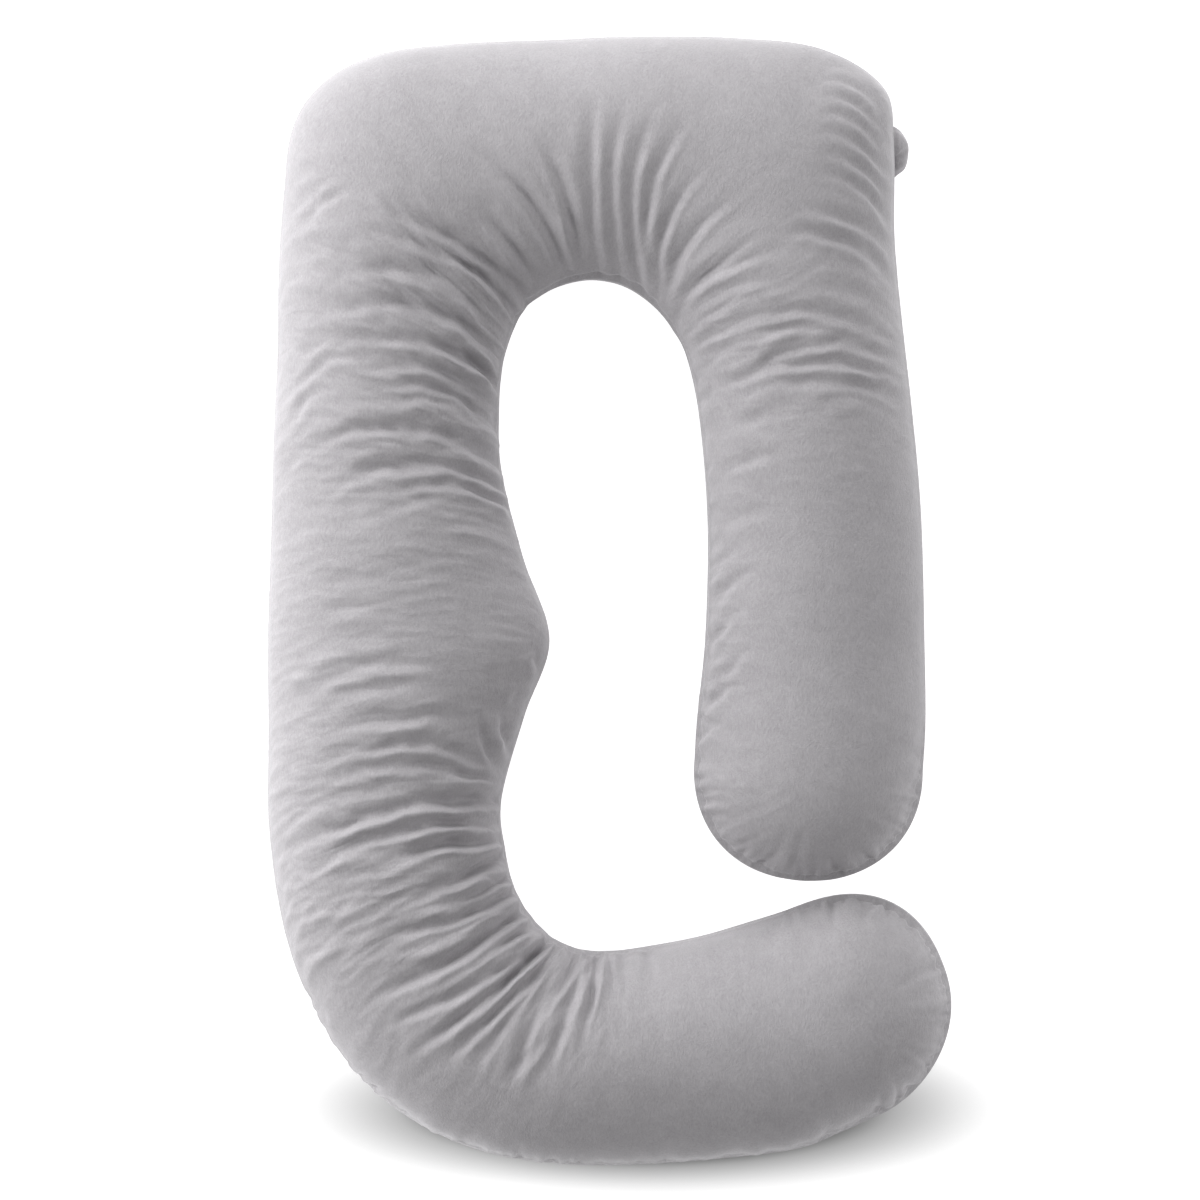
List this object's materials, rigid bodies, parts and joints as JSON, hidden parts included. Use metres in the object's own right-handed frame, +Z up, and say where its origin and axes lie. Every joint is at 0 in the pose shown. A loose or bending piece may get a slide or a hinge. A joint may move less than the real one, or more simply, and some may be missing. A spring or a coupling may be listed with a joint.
{
  "type": "full-body pillow",
  "caption": "G-shaped full-body support pillow in grey plush: one filled tube that arches over at the head, bends at the foot and leaves a long gap between its arms.",
  "frame": {"origin": "on the floor, under the middle of the outline's box", "axes": "+Z up out of the face, +Y towards the arch at the head, +X towards the free arms"},
  "size_m": [0.8497, 1.4048, 0.2165],
  "materials": {
    "plush_cover": "short-pile plush with a soft sheen"
  },
  "bodies": {
    "root": {"pillow": "plush_cover", "shoulder_tuck": "plush_cover"}
  },
  "joints": []
}
